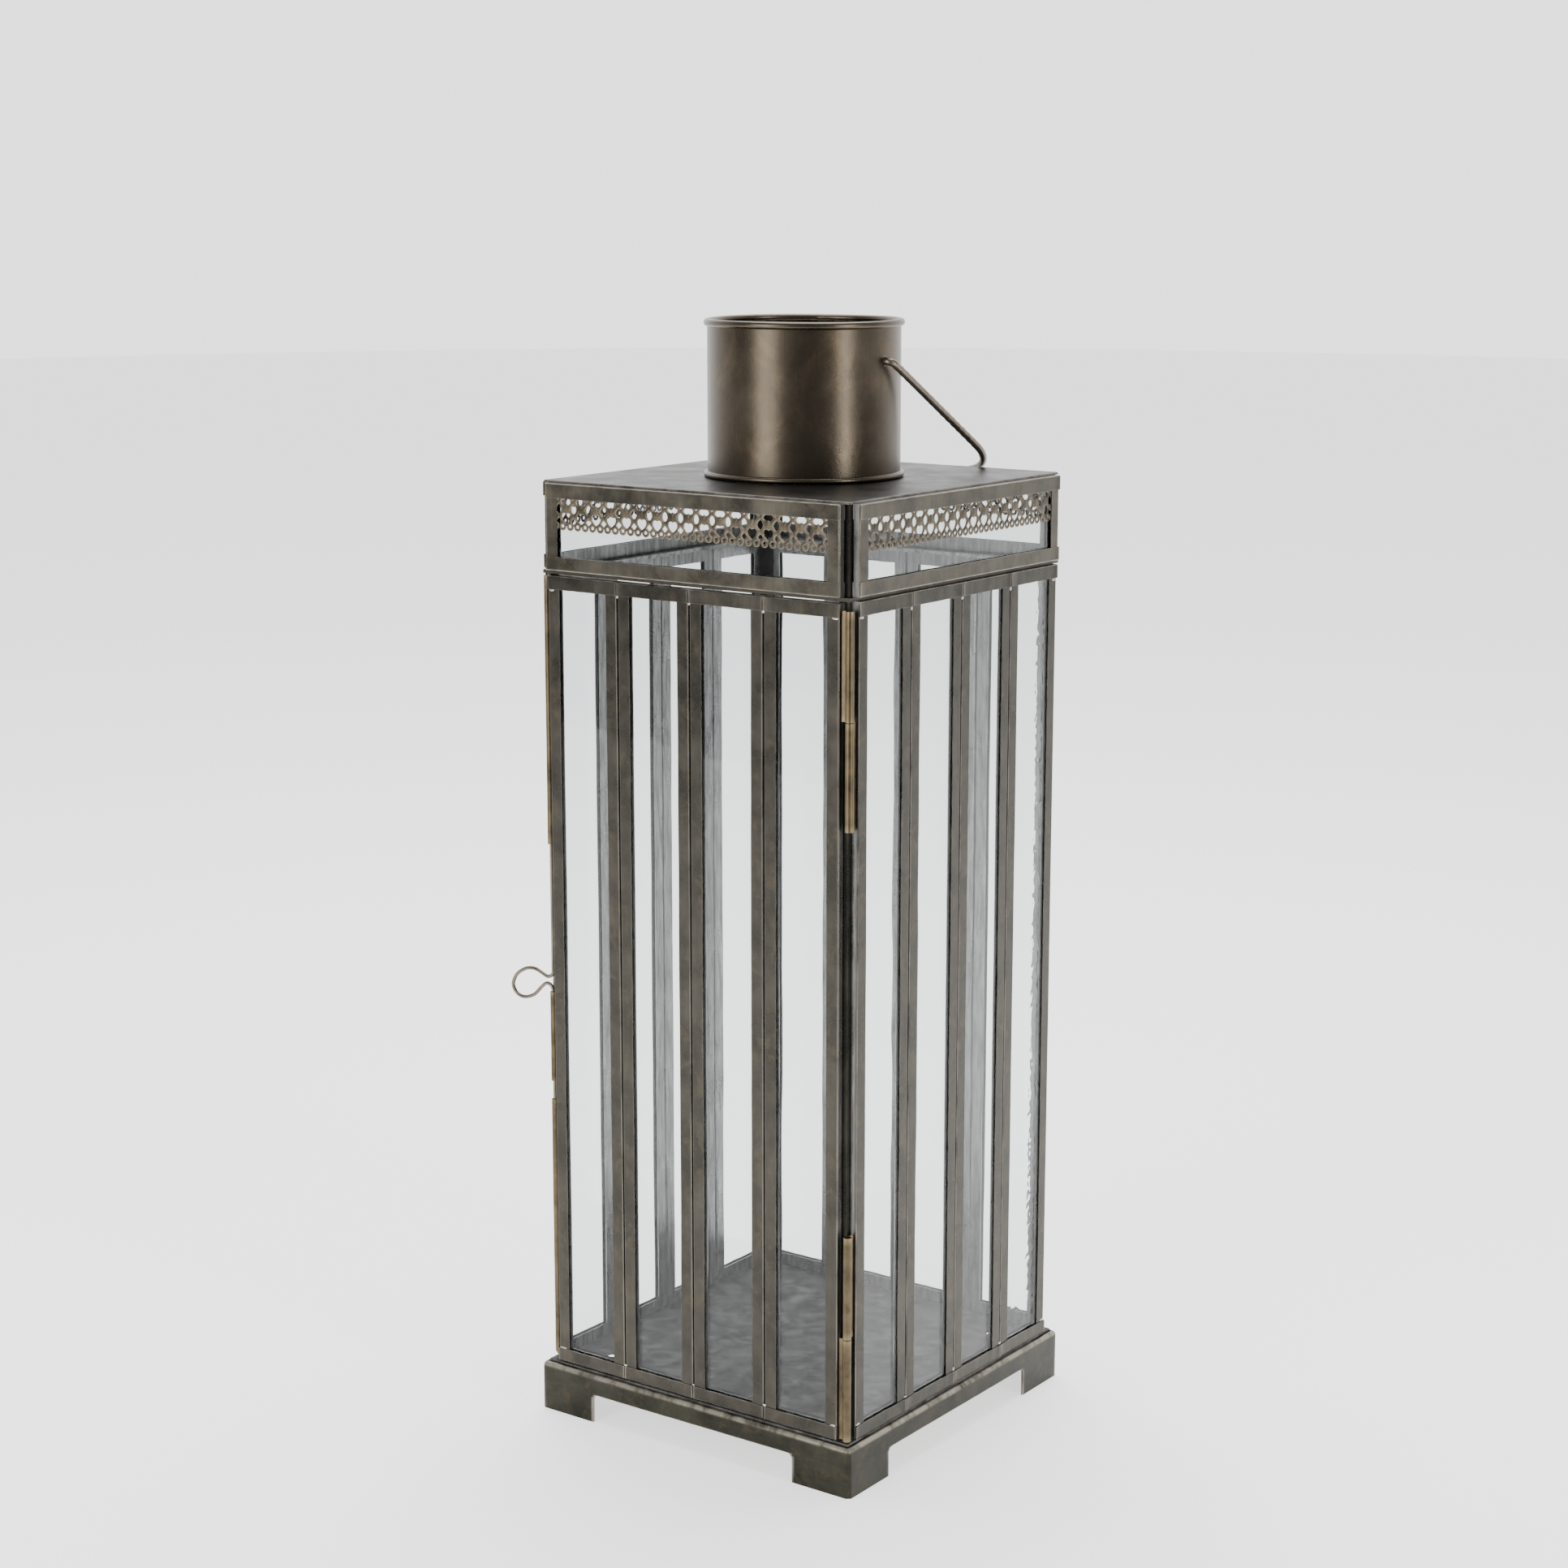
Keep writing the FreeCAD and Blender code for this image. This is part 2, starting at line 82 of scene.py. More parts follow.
# ------------------------------------------------------------------ mesh helpers
def add_piece(name, points, faces, body, finish, wear_and_highlight=None, stands_for=(), sharp=40.0,
              inside=None):
    """One mesh piece from points in millimetres; turned the right way out by its volume."""
    points = np.asarray(points, float).reshape(-1, 3)
    first = np.array([points[f[0]] for f in faces])
    total = 0.0
    for k in (1, 2):
        has = np.array([len(f) > k + 1 for f in faces])
        b = np.array([points[f[k]] for f in faces])
        c = np.array([points[f[(k + 1) % len(f)]] for f in faces])
        total += (np.einsum("ij,ij->i", first, np.cross(b, c)) * has).sum()
    if total < 0:
        faces = [f[::-1] for f in faces]
    mesh = bpy.data.meshes.new(name)
    mesh.from_pydata(((points + MIDDLE) * MM).tolist(), [], [tuple(int(i) for i in f) for f in faces])
    mesh.validate()
    mesh.polygons.foreach_set("use_smooth", np.ones(len(mesh.polygons), bool))
    mesh.set_sharp_from_angle(angle=math.radians(sharp))
    layer = mesh.attributes.new("wear_and_highlight", "FLOAT", "POINT")
    if wear_and_highlight is None:
        wear_and_highlight = np.zeros(len(points))
    layer.data.foreach_set("value", np.asarray(wear_and_highlight, np.float32).ravel())
    if inside is not None:
        layer = mesh.attributes.new("inside", "FLOAT", "POINT")
        layer.data.foreach_set("value", np.asarray(inside, np.float32).ravel())
    mesh.materials.append(finish)
    piece = bpy.data.objects.new(name, mesh)
    bpy.context.scene.collection.objects.link(piece)
    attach(piece, body)
    if stands_for:
        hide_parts(*stands_for)
    return piece


def ring_faces(count, size, closed=False, start=0):
    """Quads between count rings of size points each; closed joins the last to the first."""
    rows = np.arange(count if closed else count - 1)
    i, j = np.meshgrid(rows, np.arange(size), indexing="ij")
    k, n = (i + 1) % count, (j + 1) % size
    quads = np.stack([i * size + j, i * size + n, k * size + n, k * size + j], -1)
    return (quads.reshape(-1, 4) + start).tolist()


def merge(parts):
    """Several (points, faces, wear and highlight) as one, with the later ones' face numbers moved on."""
    points, faces, wear_and_highlight, at = [], [], [], 0
    for p, f, w in parts:
        p = np.asarray(p).reshape(-1, 3)
        points.append(p)
        faces += [[i + at for i in face] for face in f]
        wear_and_highlight.append(np.ravel(w) if w is not None else np.zeros(len(p)))
        at += len(p)
    return np.concatenate(points), faces, np.concatenate(wear_and_highlight)


def wire(path, radius, closed=False, sides=16, dome=0.6):
    """A round wire: circles of the given radius square to a path; open ends close in a dome.
    The frame at each station carries the last one's side vector on, made square again."""
    path = np.asarray(path, float)
    n = len(path)
    ahead = np.roll(path, -1, 0) - np.roll(path, 1, 0)
    if not closed:
        ahead[0], ahead[-1] = path[1] - path[0], path[-1] - path[-2]
    ahead /= np.linalg.norm(ahead, axis=1)[:, None]
    side = np.cross(ahead[0], [0.31, 0.87, 0.39])
    sides_at = []
    for t in ahead:
        side = side - t * side.dot(t)
        side = side / np.linalg.norm(side)
        sides_at.append(side)
    sides_at = np.array(sides_at)
    other = np.cross(ahead, sides_at)
    a = np.linspace(0, 2 * np.pi, sides, endpoint=False)
    rad = np.broadcast_to(np.asarray(radius, float), (n,))
    ring = (path[:, None] + rad[:, None, None] * (np.cos(a)[None, :, None] * sides_at[:, None]
                                                  + np.sin(a)[None, :, None] * other[:, None]))
    if closed:
        return ring, ring_faces(n, sides, True), np.zeros((n, sides))
    caps = []
    for end, way in ((0, -1), (n - 1, 1)):
        for k in (1, 2):
            t = k / 2.4
            caps.append(path[end] + ahead[end] * way * rad[end] * dome * math.sin(t * np.pi / 2)
                        + (ring[end] - path[end]) * math.cos(t * np.pi / 2))
    rings = np.concatenate([[caps[1], caps[0]], ring, [caps[2], caps[3]]])
    faces = ring_faces(n + 4, sides)
    faces.append(list(range(sides))[::-1])
    faces.append(list(range((n + 3) * sides, (n + 4) * sides)))
    return rings, faces, np.zeros((n + 4, sides))


def smooth_path(points, count, closed=False):
    """Catmull-Rom curve through the points, resampled to even steps."""
    p = np.asarray(points, float)
    if closed:
        p = np.concatenate([p[-1:], p, p[:2]])
    else:
        p = np.concatenate([2 * p[:1] - p[1:2], p, 2 * p[-1:] - p[-2:-1]])
    t = np.linspace(0, 1, 24, endpoint=False)[:, None]
    runs = []
    for i in range(1, len(p) - 2):
        a, b, c, d = p[i - 1], p[i], p[i + 1], p[i + 2]
        runs.append(0.5 * (2 * b + (c - a) * t + (2 * a - 5 * b + 4 * c - d) * t ** 2
                           + (3 * b - a - 3 * c + d) * t ** 3))
    if not closed:
        runs.append(p[-2:-1])
    q = np.concatenate(runs)
    if closed:
        q = np.concatenate([q, q[:1]])
    far = np.concatenate([[0], np.cumsum(np.linalg.norm(np.diff(q, axis=0), axis=1))])
    s = np.linspace(0, far[-1], count, endpoint=not closed)
    return np.stack([np.interp(s, far, q[:, k]) for k in range(3)], -1)


def pierced_sheet(u, v, keep, outside, inside, wrap=False):
    """A sheet on a grid of (u, v), kept where keep(u, v) > 0, with outside and inside faces.
    Points between kept and dropped cells slide along the gradient of keep to its zero line."""
    U, V = np.meshgrid(u, v, indexing="ij")
    nu, nv = U.shape
    uc = (u + np.append(u[1:], u[0] + 2 * np.pi)) / 2 if wrap else (u[1:] + u[:-1]) / 2
    vc = (v[1:] + v[:-1]) / 2
    cells = keep(*np.meshgrid(uc, vc, indexing="ij")) > 0
    cu, cv = cells.shape
    kept = np.zeros((nu, nv), int)
    full = np.zeros((nu, nv), int)
    for du in (0, 1):
        for dv in (0, 1):
            iu = (np.arange(cu) + du) % nu
            iv = np.arange(cv) + dv
            np.add.at(kept, (iu[:, None], iv[None, :]), cells.astype(int))
            np.add.at(full, (iu[:, None], iv[None, :]), 1)
    edge = (kept > 0) & (kept < full)
    step_u = (u[1] - u[0])
    step_v = (v[1] - v[0])
    e = 1e-3
    for _ in range(3):
        f = keep(U, V)
        gu = (keep(U + e * step_u, V) - f) / e
        gv = (keep(U, V + e * step_v) - f) / e
        g2 = np.maximum(gu ** 2 + gv ** 2, 1e-12)
        move_u = np.clip(-f * gu / g2, -0.6, 0.6) * step_u
        move_v = np.clip(-f * gv / g2, -0.6, 0.6) * step_v
        U = np.where(edge, U + move_u, U)
        V = np.where(edge, V + move_v, V)
    top = outside(U, V).reshape(-1, 3)
    low = inside(U, V).reshape(-1, 3)
    index = np.arange(nu * nv).reshape(nu, nv)
    ci, cj = np.nonzero(cells)
    ni = (ci + 1) % nu
    a, b, c, d = index[ci, cj], index[ni, cj], index[ni, cj + 1], index[ci, cj + 1]
    quads = [np.stack([a, b, c, d], 1), np.stack([a, d, c, b], 1) + nu * nv]
    for (p, q, di, dj) in ((a, b, 0, -1), (b, c, 1, 0), (c, d, 0, 1), (d, a, -1, 0)):
        oi, oj = ci + di, cj + dj
        if wrap:
            oi = oi % cu
        inside_grid = (oi >= 0) & (oi < cu) & (oj >= 0) & (oj < cv)
        there = np.zeros(len(ci), bool)
        there[inside_grid] = cells[oi[inside_grid], oj[inside_grid]]
        bare = ~there
        quads.append(np.stack([q[bare], p[bare], p[bare] + nu * nv, q[bare] + nu * nv], 1))
    quads = np.concatenate(quads)
    points = np.concatenate([top, low])
    used = np.unique(quads)
    lookup = np.zeros(len(points), int)
    lookup[used] = np.arange(len(used))
    wear_and_highlight = np.concatenate([edge.ravel(), edge.ravel()]).astype(float)[used]
    return points[used], lookup[quads].tolist(), wear_and_highlight


# ------------------------------------------------------------------ finishes
class Finish:
    """A node material under construction; every pattern reads Object coordinates."""

    def __init__(self, name):
        self.mat = bpy.data.materials.new(name)
        self.mat.use_nodes = True
        self.nt = self.mat.node_tree
        self.bsdf = self.nt.nodes["Principled BSDF"]
        self.object = self.nt.nodes.new("ShaderNodeTexCoord").outputs["Object"]

    def node(self, kind, inputs=None, **settings):
        """A new node; an input is a link when given a socket, and a fixed value otherwise."""
        n = self.nt.nodes.new(kind)
        for key, value in settings.items():
            setattr(n, key, value)
        for key, value in (inputs or {}).items():
            if isinstance(value, bpy.types.NodeSocket):
                self.nt.links.new(value, n.inputs[key])
            else:
                n.inputs[key].default_value = value
        return n

    def stretched(self, scale):
        """Object coordinates scaled along each axis: a small scale draws the pattern out."""
        return self.node("ShaderNodeMapping", {"Vector": self.object, "Scale": scale}).outputs[0]

    def noise(self, scale, detail=4.0, rough=0.55, vector=None, distortion=0.0):
        n = self.node("ShaderNodeTexNoise", {"Vector": vector or self.object, "Scale": scale,
                                             "Detail": detail, "Roughness": rough,
                                             "Distortion": distortion})
        return n.outputs["Fac"]

    def spread(self, value, low, high, out_low=0.0, out_high=1.0):
        """A value's run from low to high carried to a new run, and held at its ends."""
        n = self.node("ShaderNodeMapRange", {"Value": value, "From Min": low, "From Max": high,
                                             "To Min": out_low, "To Max": out_high})
        return n.outputs["Result"]

    def math(self, operation, a, b):
        return self.node("ShaderNodeMath", {0: a, 1: b}, operation=operation).outputs[0]

    def mix(self, fac, a, b):
        """Colour a turning to colour b as fac goes from nought to one."""
        n = self.node("ShaderNodeMix", data_type="RGBA")
        for key, value in ((0, fac), (6, a), (7, b)):
            if isinstance(value, bpy.types.NodeSocket):
                self.nt.links.new(value, n.inputs[key])
            else:
                n.inputs[key].default_value = (*value, 1.0) if key else value
        return n.outputs[2]

    def bump(self, height, strength, distance, under=None):
        """Surface relief, laid over another relief when one is given."""
        inputs = {"Height": height, "Strength": strength, "Distance": distance}
        if under is not None:
            inputs["Normal"] = under
        return self.node("ShaderNodeBump", inputs).outputs["Normal"]

    def set(self, **values):
        """Put values or sockets on the surface shader and hand back the material."""
        for key, value in values.items():
            socket = self.bsdf.inputs[key.replace("_", " ")]
            if isinstance(value, bpy.types.NodeSocket):
                self.nt.links.new(value, socket)
            elif isinstance(value, tuple):
                socket.default_value = (*value, 1.0)
            else:
                socket.default_value = value
        return self.mat


def aged_metal(name, dark, mid, warm, worn_and_highlit_colour, rough, metallic=0.85, grain=(1, 1, 0.06),
               worn_and_highlit=0.75, patch=45.0):
    """Lacquered antique sheet: slow patches of two browns, warm stains, streaks along the
    grain, fine speckle in the gloss, and on folds and edges a brighter colour, part worn metal, part painted
    highlight."""
    f = Finish(name)
    patches = f.spread(f.noise(patch, 5.0, 0.6), 0.35, 0.68)
    stains = f.spread(f.noise(patch * 2.7, 6.0, 0.65, distortion=0.6), 0.52, 0.74)
    streaks = f.noise(700.0, 4.0, 0.6, vector=f.stretched(grain))
    speck = f.noise(2600.0, 3.0, 0.7)
    colour = f.mix(patches, dark, mid)
    colour = f.mix(f.math("MULTIPLY", stains, 0.55), colour, warm)
    colour = f.mix(f.spread(streaks, 0.45, 0.8, 0.0, 0.45), colour, dark)
    # Painted highlight with wear: the point attribute read here marks folds, cut edges and strip ends. The
    # brighter colour mixed in there is partly rubbed bare metal and partly painted highlight.
    wear_and_highlight = f.node("ShaderNodeAttribute", attribute_name="wear_and_highlight").outputs["Fac"]
    rub = f.spread(f.noise(110.0, 4.0, 0.6, vector=f.stretched((1, 1, 0.35))), 0.28, 0.56)
    rubbed_and_highlit = f.math("MULTIPLY", f.math("MULTIPLY", wear_and_highlight, rub), worn_and_highlit)
    colour = f.mix(rubbed_and_highlit, colour, worn_and_highlit_colour)
    within = f.node("ShaderNodeAttribute", attribute_name="inside").outputs["Fac"]
    crust = f.spread(f.noise(420.0, 5.0, 0.65, vector=f.stretched((1, 1, 0.12))), 0.32, 0.70)
    colour = f.mix(within, colour, f.mix(crust, (0.13, 0.13, 0.127), (0.38, 0.388, 0.38)))
    gloss = f.spread(f.math("ADD", f.math("MULTIPLY", patches, 0.5), f.math("MULTIPLY", speck, 0.9)),
                     0.25, 1.15, rough - 0.10, rough + 0.13)
    normal = f.bump(speck, 0.12, 0.00012)
    normal = f.bump(f.noise(140.0, 4.0, 0.6), 0.10, 0.0006, normal)
    return f.set(Base_Color=colour, Metallic=metallic, Roughness=gloss, Normal=normal)


def zinc(name):
    """Galvanised sheet: angular spangles of several greys, blotched by soot and dust."""
    f = Finish(name)
    cells = f.node("ShaderNodeTexVoronoi", {"Vector": f.object, "Scale": 170.0}).outputs["Color"]
    tone = f.node("ShaderNodeSeparateColor", {"Color": cells}).outputs[0]
    cloud = f.spread(f.noise(70.0, 7.0, 0.7, distortion=0.8), 0.36, 0.66)
    fine = f.noise(900.0, 4.0, 0.7)
    colour = f.mix(f.spread(tone, 0.0, 1.0, 0.2, 0.7), (0.045, 0.045, 0.043), (0.20, 0.20, 0.195))
    colour = f.mix(f.math("MULTIPLY", cloud, 0.85), colour, (0.018, 0.017, 0.015))
    colour = f.mix(f.spread(fine, 0.55, 0.8, 0.0, 0.5), colour, (0.26, 0.26, 0.25))
    rough = f.spread(cloud, 0.0, 1.0, 0.55, 0.80)
    normal = f.bump(fine, 0.15, 0.0002)
    return f.set(Base_Color=colour, Metallic=0.30, Roughness=rough, Specular_IOR_Level=0.25,
                 Normal=normal)


def ledge_metal(name):
    """Bright zinc on the ledge that shows inside, dark at its outer edge where it comes out of the seam."""
    f = Finish(name)
    place = f.node("ShaderNodeMapping", {"Vector": f.object, "Location": tuple(-MIDDLE * MM)}).outputs[0]
    part = f.node("ShaderNodeSeparateXYZ", {0: place}).outputs
    across = f.math("ABSOLUTE", part[0], 0.0)
    along = f.math("ABSOLUTE", part[1], 0.0)
    outer = f.spread(f.math("MAXIMUM", across, along), 0.0945, 0.0957)
    crust = f.spread(f.noise(260.0, 6.0, 0.7, distortion=0.5), 0.36, 0.64)
    colour = f.mix(outer, f.mix(crust, (0.14, 0.14, 0.135), (0.50, 0.505, 0.50)), (0.05, 0.043, 0.035))
    rough = f.spread(crust, 0.0, 1.0, 0.48, 0.26)
    return f.set(Base_Color=colour, Metallic=0.85, Roughness=rough,
                 Normal=f.bump(crust, 0.15, 0.0003))


def clear_glass(name, ripple, hammered):
    """Old drawn glass: long soft waves, and on hammered panes a small dimpled texture."""
    f = Finish(name)
    waves = f.noise(26.0, 2.0, 0.5, vector=f.stretched((1, 1, 0.35)))
    normal = f.bump(waves, ripple, 0.0022)
    if hammered:
        cells = f.node("ShaderNodeTexVoronoi", {"Vector": f.stretched((1, 1, 0.8)), "Scale": 330.0},
                       feature="SMOOTH_F1").outputs["Distance"]
        normal = f.bump(cells, hammered, 0.0006, normal)
    return f.set(Base_Color=(0.90, 0.915, 0.922), Transmission_Weight=1.0, Roughness=0.0,
                 IOR=1.3, Normal=normal)


BRONZE = aged_metal("aged_bronze_sheet", (0.029, 0.027, 0.022), (0.056, 0.051, 0.041),
                    (0.085, 0.066, 0.043), (0.46, 0.42, 0.35), 0.30)
FRIEZE = aged_metal("aged_bronze_band", (0.046, 0.042, 0.033), (0.092, 0.083, 0.065),
                    (0.12, 0.094, 0.060), (0.50, 0.45, 0.37), 0.31)
PIERCED = aged_metal("stamped_bronze", (0.052, 0.043, 0.030), (0.120, 0.100, 0.070),
                     (0.19, 0.140, 0.085), (0.42, 0.37, 0.29), 0.36, patch=80.0)
BASE = aged_metal("dark_olive_bronze", (0.013, 0.013, 0.009), (0.036, 0.034, 0.024),
                  (0.062, 0.046, 0.028), (0.46, 0.42, 0.34), 0.32, grain=(0.1, 0.1, 1))
ROOF = aged_metal("dark_roof_sheet", (0.013, 0.012, 0.011), (0.025, 0.023, 0.020),
                  (0.032, 0.026, 0.020), (0.24, 0.21, 0.18), 0.42, grain=(0.1, 1, 1), worn_and_highlit=0.5)
COLLAR = aged_metal("burnished_bronze", (0.056, 0.046, 0.034), (0.098, 0.081, 0.060),
                    (0.135, 0.098, 0.062), (0.36, 0.30, 0.22), 0.32, grain=(1, 1, 0.05),
                    worn_and_highlit=0.5, patch=14.0, metallic=1.0)
WIRE = aged_metal("bronze_wire", (0.085, 0.071, 0.055), (0.17, 0.145, 0.110),
                  (0.18, 0.135, 0.088), (0.42, 0.37, 0.29), 0.32)
BRASS = aged_metal("old_brass_tube", (0.038, 0.029, 0.016), (0.115, 0.086, 0.046),
                   (0.11, 0.072, 0.036), (0.28, 0.22, 0.12), 0.33, patch=90.0)
SOLDER = aged_metal("tin_solder", (0.17, 0.16, 0.14), (0.36, 0.34, 0.30),
                    (0.24, 0.20, 0.145), (0.66, 0.63, 0.57), 0.30, metallic=0.95)
ZINC = zinc("galvanised_floor")
LEDGE = ledge_metal("shoulder_sheet")
GLASS = clear_glass("clear_glass", 0.08, 0.0)
RIPPLED = clear_glass("hammered_glass", 0.10, 0.22)


# ------------------------------------------------------------------ folded channels
def fold_section(width, depth, radius=FOLD_R, sheet=SHEET, arc=5):
    """A U of sheet round the edge of a pane, as paired outer and inner points (across, depth)
    with the wear and painted highlight of each pair: flat flanges, two quarter-round folds and a web."""
    q = np.linspace(0, np.pi / 2, arc)
    outer = [(width, 0.0), (width - 0.3, 0.0), (radius + 0.45, 0.0)]
    outer += [(radius - radius * math.sin(t), radius - radius * math.cos(t)) for t in q]
    outer += [(radius - radius * math.cos(t), depth - radius + radius * math.sin(t)) for t in q]
    outer += [(radius + 0.45, depth), (width - 0.3, depth), (width, depth)]
    small = radius - sheet
    inner = [(width, sheet), (width - 0.3, sheet), (radius + 0.45, sheet)]
    inner += [(radius - small * math.sin(t), radius - small * math.cos(t)) for t in q]
    inner += [(radius - small * math.cos(t), depth - radius + small * math.sin(t)) for t in q]
    inner += [(radius + 0.45, depth - sheet), (width - 0.3, depth - sheet), (width, depth - sheet)]
    # Painted highlight: the folds and free edges get a bright line that is partly wear and partly the
    # highlight a rounded fold catches.
    bend = np.sin(np.linspace(0, np.pi, arc)) * 0.6
    wear_and_highlight = np.concatenate([[0.35, 0.0, 0.0], bend, bend, [0.0, 0.0, 0.35]])
    return np.array(outer), np.array(inner), wear_and_highlight


def drift(s, rng, size, waves=(2, 3, 5)):
    """Slow hand-made waviness along a strip: a few sines with seeded phases."""
    t = (s - s[0]) / (s[-1] - s[0])
    total = sum(rng.uniform(0.3, 1.0) * np.sin(2 * np.pi * k * t * rng.uniform(0.7, 1.2)
                                               + rng.uniform(0, 6.28)) for k in waves)
    return size * total / len(waves)


def channel(length, width, depth, rng, stations=34, flare=0.0, front=0.0):
    """A folded strip as an array (station, ring point, [across, along, depth]); its front stands
    front outwards, and its ends flare outwards a little where they were pinched over."""
    outer, inner, wear_and_highlight = fold_section(width, depth)
    s = np.concatenate([[0, 0.5, 1.2, 2.5], np.linspace(5, length - 5, stations),
                        length - np.array([2.5, 1.2, 0.5, 0])])
    stations = len(s)
    ends = np.minimum(s, length - s)
    ring = np.concatenate([outer, inner[::-1]])
    across = ring[None, :, 0] + drift(s, rng, 0.16)[:, None] * (ring[None, :, 0] / width)
    lift = -np.abs(drift(s, rng, 0.12))[:, None] - flare * np.exp(-(ends / 2.2) ** 2)[:, None]
    face = np.where(ring[None, :, 1] < depth / 2, 1.0, -0.4)
    deep = ring[None, :, 1] - front * (ring[None, :, 1] < depth / 2) + lift * face
    along = np.broadcast_to(s[:, None], across.shape)
    points = np.stack([across, along, deep], -1)
    size = len(ring)
    half = len(outer)
    faces = ring_faces(stations, size)
    for st in (0, stations - 1):
        for k in range(half - 1):
            quad = [st * size + k, st * size + k + 1,
                    st * size + size - 2 - k, st * size + size - 1 - k]
            faces.append(quad)
    tip = 0.4 * np.exp(-(ends / 0.6) ** 2)[:, None]
    worn_and_highlit = np.clip(np.concatenate([wear_and_highlight, wear_and_highlight[::-1]])[None, :] + tip, 0, 1)
    return points, faces, worn_and_highlit


def pane_frame(low, high, head, foot, rng, shorter, depth):
    """Two uprights with a head and a foot strip lapped over their ends, on the door side.  The
    head and foot are shorter than the frame is wide, and lie a little askew."""
    x0, z0, x1, z1, y = low[0], low[2], high[0], high[2], low[1] + LAP
    parts = []
    for edge, way in ((x0, 1), (x1, -1)):
        p, f, w = channel(z1 - z0 - 1.0, STRIP, depth, rng, stations=60)
        parts.append((np.stack([edge + way * (p[..., 0] + 0.2), y + p[..., 2],
                                z0 + 0.5 + p[..., 1]], -1), f, w * 0.6))
    for edge, way, width in ((z1, -1, head), (z0, 1, foot)):
        p, f, w = channel(x1 - x0 - shorter, width, depth, rng, flare=0.30, front=0.38)
        tilt = (p[..., 1] / (x1 - x0) - 0.5) * rng.uniform(-0.15, 0.15)
        p[..., 0] += rng.uniform(0.0, 0.08) + tilt
        parts.append((np.stack([x0 + shorter / 2 + p[..., 1], y + p[..., 2],
                                edge + way * p[..., 0]], -1),
                      f if way > 0 else [q[::-1] for q in f], w))
    return parts


def oriented(parts):
    """Each closed part turned the right way out by its own volume before they are merged."""
    done = []
    for p, f, w in parts:
        q = np.asarray(p).reshape(-1, 3)
        tri = np.array([[g[0], g[1], g[2]] for g in f]
                       + [[g[0], g[2], g[3]] for g in f if len(g) > 3])
        a, b, c = q[tri[:, 0]], q[tri[:, 1]], q[tri[:, 2]]
        middle = q.mean(0)
        if np.einsum("ij,ij->", a - middle, np.cross(b - middle, c - middle)) < 0:
            f = [g[::-1] for g in f]
        done.append((p, f, w))
    return done


def facing_in(points, front, depth):
    """One on the inner half of a channel's depth, nought on its front."""
    return np.clip((points[:, 1] - front - depth * 0.62) * 2.0, 0, 1)


def build_pane_frames():
    """Four folded strips round each pane; every one differs a little, as hand work does."""
    rng = np.random.default_rng(SEED)
    channel_depth = node_box("back_pane_frame_1")[1][1] - node_box("back_pane_frame_1")[0][1] - LAP
    for side, degrees in SIDES:
        body = "door" if side == "door" else "root"
        like = "door_pane_frame_%d"
        for i in range(1, PANES + 1):
            low, high = node_box(like % i)
            if side != "door":
                own = node_box("%s_pane_frame_%d" % (side, i))
                low[2], high[2] = own[0][2], own[1][2]
            parts = pane_frame(low, high, STRIP, STRIP, rng, 0.2, channel_depth)
            points, faces, wear_and_highlight = merge(oriented(parts))
            add_piece("%s_pane_channels_%d" % (side, i), turned(points, degrees), faces, body,
                      BRONZE, wear_and_highlight, ["%s_pane_frame_%d" % (side, i)],
                      inside=facing_in(points, low[1] + LAP, channel_depth))


def build_frieze_frames():
    """The same strips round the four panes of the band under the roof."""
    rng = np.random.default_rng(SEED + 1)
    for name, degrees in BAND_SIDES:
        low, high = node_box("frieze_frame_front")
        depth = high[1] - low[1] - LAP
        parts = pane_frame(low, high, 7.6, 7.4, rng, 0.3, depth)
        points, faces, wear_and_highlight = merge(oriented(parts))
        add_piece("frieze_channels_" + name, turned(points, degrees), faces, "root",
                  FRIEZE, wear_and_highlight, ["frieze_frame_" + name],
                  inside=facing_in(points, low[1] + LAP, depth))


# ------------------------------------------------------------------ pierced strip
PITCH = 10.0


def filigree_field(x, z):
    """Metal is positive.  Per pitch: a bean over a flower, lenses between flowers, a heart with
    diamonds between hearts, and a row of small rings along the scalloped foot.  z is down
    from the top edge of what shows."""
    m = (x + PITCH / 2) % PITCH - PITCH / 2
    e = np.abs(np.abs(m) - PITCH / 2)
    bean = np.hypot(m / 3.0, (z + 2.2) / 1.75) - 1.0
    bump = 1.05 - np.hypot(m, z + 4.4)
    field = np.maximum(bean * 1.9, bump)
    waist, tall = 1.6, 2.45
    lens_r = (tall ** 2 + waist ** 2) / (2 * waist)
    lens = np.hypot(e + lens_r - waist, z + 5.9) - lens_r
    field = np.minimum(field, lens)
    hx, hy = m / 2.5, (z + 11.15) / 2.45
    heart = (hx ** 2 + hy ** 2 - 1) ** 3 - hx ** 2 * hy ** 3
    field = np.minimum(field, np.clip(heart, -1.0, 1.5))
    diamond = (e / 1.65 + np.abs(z + 12.2) / 1.75 - 1.0) * 1.1
    field = np.minimum(field, diamond)
    side = np.abs(np.abs(m) - PITCH / 4)
    ring = np.hypot(side, z + 14.9)
    field = np.minimum(field, ring - 0.85)
    field = np.where(z < -14.9, np.minimum(field, 2.3 - ring), field)
    top = np.hypot(e, z + 1.1) - 0.35
    return np.minimum(field, top)


def relief(x, z):
    """Stamped height: bars are round, flowers are domed with four petals."""
    field = filigree_field(x, z)
    m = (x + PITCH / 2) % PITCH - PITCH / 2
    r = np.hypot(m, z + 6.2)
    petal = np.exp(-(r / 2.0) ** 2) * (0.75 + 0.25 * np.cos(4 * np.arctan2(z + 6.2, m)))
    return 0.30 * (1 - np.exp(-np.clip(field, 0, 2) / 0.35)) + 0.22 * petal


